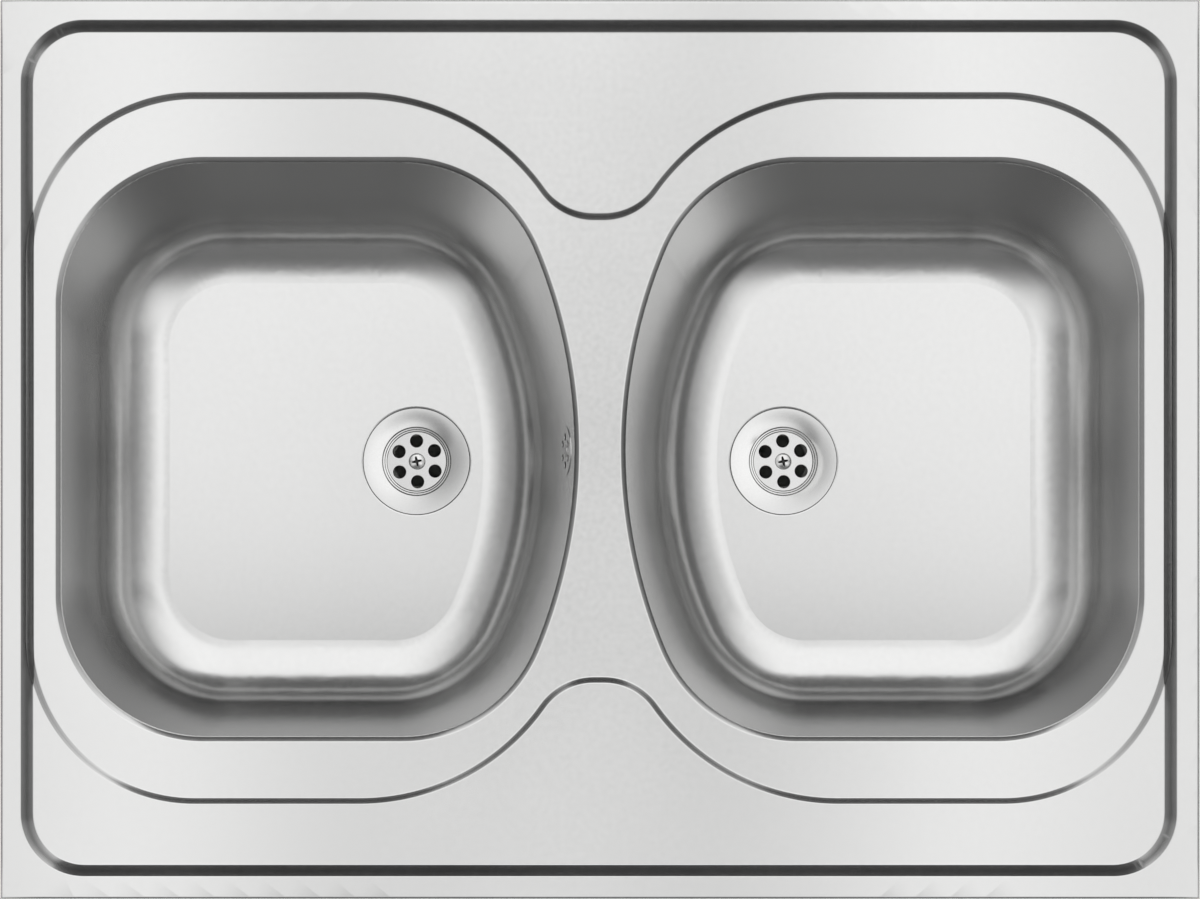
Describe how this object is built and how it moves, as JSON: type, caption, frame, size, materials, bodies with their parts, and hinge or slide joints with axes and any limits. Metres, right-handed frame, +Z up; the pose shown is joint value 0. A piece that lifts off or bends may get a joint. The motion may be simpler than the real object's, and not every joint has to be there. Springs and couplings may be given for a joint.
{
  "type": "double bowl kitchen sink",
  "caption": "Square-cornered lay-on kitchen sink with twin pressed bowls, screw strainers, an overflow, fixing brackets and a plastic bottle trap below.",
  "frame": {"origin": "middle of the plane under the folded return, where the sink rests on the cabinet", "axes": "+Z up, +Y to the back edge, +X to the right bowl"},
  "size_m": [0.8, 0.6, 0.435],
  "materials": {
    "sink_steel": "satin stainless steel",
    "strainer_steel": "polished stainless steel",
    "screw_steel": "bright stainless steel",
    "black_rubber": "matt black rubber",
    "sound_pad": "matt bitumen sheet",
    "white_plastic": "satin white polypropylene",
    "grey_plastic": "satin grey polypropylene",
    "brass": "turned brass",
    "bracket_zinc": "bright zinc plate"
  },
  "bodies": {
    "sink": {"sink_top": "sink_steel", "left_bowl": "sink_steel", "right_bowl": "sink_steel", "left_sound_pad": "sound_pad", "left_strainer": "strainer_steel", "left_strainer_seal": "black_rubber", "left_strainer_screw": "screw_steel", "left_waste_gasket": "black_rubber", "left_waste_body": "white_plastic", "left_insert_nut": "brass", "left_coupling_nut": "grey_plastic", "left_coupling_washer": "black_rubber", "left_elbow_pipe": "white_plastic", "left_tee_nut": "grey_plastic", "left_tee_washer": "black_rubber", "right_sound_pad": "sound_pad", "right_strainer": "strainer_steel", "right_strainer_seal": "black_rubber", "right_strainer_screw": "screw_steel", "right_waste_gasket": "black_rubber", "right_waste_body": "white_plastic", "right_insert_nut": "brass", "right_coupling_nut": "grey_plastic", "right_coupling_washer": "black_rubber", "right_elbow_pipe": "white_plastic", "right_tee_nut": "grey_plastic", "right_tee_washer": "black_rubber", "centre_tee": "white_plastic", "overflow_rosette": "strainer_steel", "overflow_screw": "screw_steel", "overflow_gasket": "black_rubber", "overflow_body": "white_plastic", "overflow_pipe": "white_plastic", "overflow_tail_nut": "grey_plastic", "overflow_tail_washer": "black_rubber", "overflow_port_nut": "grey_plastic", "overflow_port_washer": "black_rubber"},
    "trap": {"trap_body": "white_plastic", "trap_inlet_nut": "grey_plastic", "trap_inlet_washer": "black_rubber", "outlet_nut": "grey_plastic", "outlet_washer": "black_rubber"},
    "trap_seal": {"trap_cup_seal": "black_rubber"},
    "trap_bottle": {"trap_cup": "white_plastic"},
    "outlet": {"outlet_pipe": "white_plastic"},
    "left_back_clamp": {"left_back_bracket": "bracket_zinc"},
    "left_front_clamp": {"left_front_bracket": "bracket_zinc"},
    "right_back_clamp": {"right_back_bracket": "bracket_zinc"},
    "right_front_clamp": {"right_front_bracket": "bracket_zinc"}
  },
  "joints": [
    {"name": "trap_swivel", "type": "hinge", "parent": "sink", "child": "trap", "pos_m": [0, -0.0084, -0.26398], "axis": [0, 0, 1], "range_deg": [-90, 90]},
    {"name": "cup_travel", "type": "slide", "parent": "trap", "child": "trap_seal", "axis": [0, 0, -1], "range_m": [0, 0.0121]},
    {"name": "cup_turn", "type": "hinge", "parent": "trap_seal", "child": "trap_bottle", "pos_m": [0, -0.0084, -0.33998], "axis": [0, 0, -1], "range_deg": [0, 1080]},
    {"name": "outlet_slide", "type": "slide", "parent": "trap", "child": "outlet", "axis": [0, 1, 0], "range_m": [-0.009, 0.01]},
    {"name": "left_back_bracket_slide", "type": "slide", "parent": "sink", "child": "left_back_clamp", "axis": [0, 1, 0], "range_m": [-0.03, 0.03]},
    {"name": "left_front_bracket_slide", "type": "slide", "parent": "sink", "child": "left_front_clamp", "axis": [0, 1, 0], "range_m": [-0.03, 0.03]},
    {"name": "right_back_bracket_slide", "type": "slide", "parent": "sink", "child": "right_back_clamp", "axis": [0, 1, 0], "range_m": [-0.03, 0.03]},
    {"name": "right_front_bracket_slide", "type": "slide", "parent": "sink", "child": "right_front_clamp", "axis": [0, 1, 0], "range_m": [-0.03, 0.03]}
  ],
  "couplings": [
    {"joint": "cup_travel", "follows": "cup_turn", "m_per_rad": 0.00063662}
  ]
}
